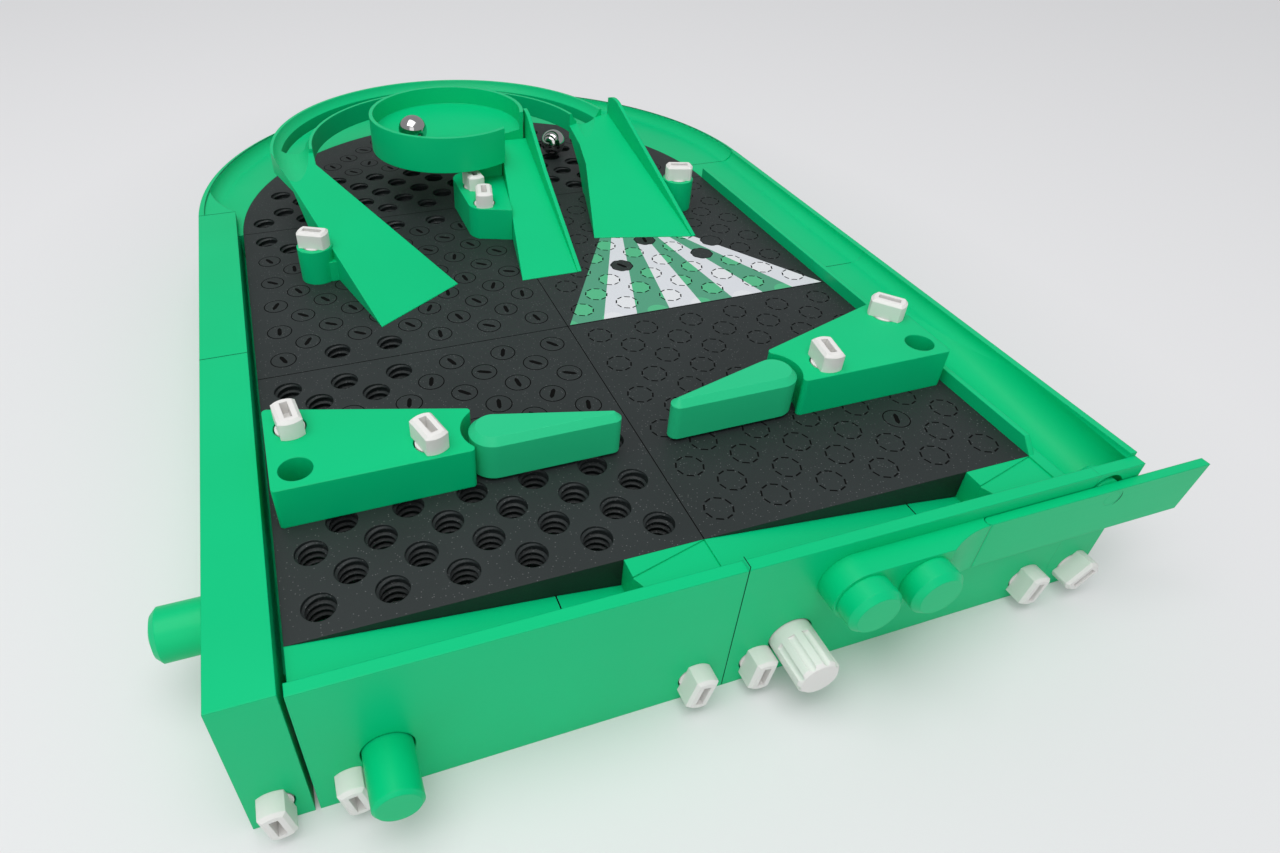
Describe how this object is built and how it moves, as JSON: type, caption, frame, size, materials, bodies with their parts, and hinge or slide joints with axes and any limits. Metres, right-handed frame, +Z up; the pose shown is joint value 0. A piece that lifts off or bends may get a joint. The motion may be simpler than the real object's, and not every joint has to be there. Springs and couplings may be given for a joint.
{
  "type": "tabletop flipper game",
  "caption": "Printed tabletop ball game: round-backed green frame on black threaded tiles, with flippers, side buttons, slings, ramps, an orbit track, a spiral bowl and a leaf launcher.",
  "frame": {"origin": "on the table, under the middle of the whole outline", "axes": "+Y from the player to the round back, +X to the player's right, +Z up from the playfield"},
  "size_m": [0.471, 0.6076, 0.1329],
  "materials": {
    "green_print": "satin green print with fine layer lines",
    "black_print": "matte black print with fine speckle",
    "white_print": "matte white print",
    "steel": "polished steel"
  },
  "bodies": {
    "table": {"left_rail_front": "green_print", "left_rail_rear": "green_print", "right_rail_front": "green_print", "right_rail_rear": "green_print", "arch_left": "green_print", "arch_right": "green_print", "front_wall_left": "green_print", "front_wall_right": "green_print", "drain_trough_left": "green_print", "drain_trough_right": "green_print", "sling_left": "green_print", "sling_right": "green_print", "orbit_entry_ramp": "green_print", "orbit_exit_ramp": "green_print", "orbit_exit_wall": "green_print", "orbit_track": "green_print", "spiral_bowl": "green_print", "spiral_ramp": "green_print", "spiral_wall": "green_print", "spiral_mount": "green_print", "launcher_block": "green_print", "launcher_bolt_left": "green_print", "launcher_bolt_right": "green_print", "inlay_green": "green_print", "tile_front_left": "black_print", "tile_front_right": "black_print", "tile_middle_left": "black_print", "tile_middle_right": "black_print", "tile_rear_left": "black_print", "tile_rear_right": "black_print", "cross_beam_front": "black_print", "cross_beam_rear": "black_print", "inlay_white": "white_print", "sling_pin_left_rear": "white_print", "sling_pin_left_front": "white_print", "sling_pin_right_front": "white_print", "sling_pin_right_rear": "white_print", "ramp_pin_entry_post": "white_print", "ramp_pin_exit_post": "white_print", "ramp_pin_block_front": "white_print", "ramp_pin_block_rear": "white_print", "frame_pin_1": "white_print", "frame_pin_2": "white_print", "frame_pin_3": "white_print", "frame_pin_4": "white_print", "frame_pin_5": "white_print", "frame_pin_6": "white_print"},
    "left_flipper": {"flipper_left": "green_print", "flipper_shaft_left": "green_print"},
    "right_flipper": {"flipper_right": "green_print", "flipper_shaft_right": "green_print"},
    "left_button": {"side_plunger_left": "green_print"},
    "right_button": {"side_plunger_right": "green_print"},
    "launch_lever": {"launcher_leaf": "green_print", "striker": "green_print"},
    "push_control": {"push_knob": "green_print"},
    "turning_control": {"turning_knob": "white_print"},
    "loose_ball": {"ball_on_playfield": "steel"},
    "bowl_ball": {"ball_in_bowl": "steel"}
  },
  "joints": [
    {"name": "left_button_push", "type": "slide", "parent": "table", "child": "left_button", "axis": [1, 0, 0], "range_m": [0, 0.0138], "stiffness_N_per_m": 120, "springref_m": -0.004},
    {"name": "right_button_push", "type": "slide", "parent": "table", "child": "right_button", "axis": [-1, 0, 0], "range_m": [0, 0.0138], "stiffness_N_per_m": 120, "springref_m": -0.004},
    {"name": "left_flipper_swing", "type": "hinge", "parent": "table", "child": "left_flipper", "pos_m": [-0.08232, -0.1862, 0.0728], "axis": [0, 0, 1], "range_deg": [0, 36]},
    {"name": "right_flipper_swing", "type": "hinge", "parent": "table", "child": "right_flipper", "pos_m": [0.05768, -0.1862, 0.0728], "axis": [0, 0, -1], "range_deg": [0, 36]},
    {"name": "launch_lever_pull", "type": "hinge", "parent": "table", "child": "launch_lever", "pos_m": [0.11088, -0.2828, 0.05684], "axis": [0, 0, -1], "range_deg": [0, 11.5], "stiffness_Nm_per_rad": 2, "springref_deg": -2.86},
    {"name": "push_knob_press", "type": "slide", "parent": "table", "child": "push_control", "axis": [0, 1, 0], "range_m": [0, 0.01], "stiffness_N_per_m": 150, "springref_m": -0.003},
    {"name": "turning_knob_turn", "type": "hinge", "parent": "table", "child": "turning_control", "pos_m": [0.02436, -0.2842, 0.02408], "axis": [0, 1, 0], "range_deg": [-90, 90]},
    {"name": "loose_ball_roll", "type": "slide", "parent": "table", "child": "loose_ball", "axis": [0.8593, 0.5115, 0], "range_m": [0, 0.045]},
    {"name": "bowl_ball_lift", "type": "slide", "parent": "table", "child": "bowl_ball", "axis": [0, 0, 1], "range_m": [0, 0.05]}
  ],
  "couplings": [
    {"joint": "left_flipper_swing", "follows": "left_button_push", "rad_per_m": 45.4},
    {"joint": "right_flipper_swing", "follows": "right_button_push", "rad_per_m": 45.4}
  ]
}
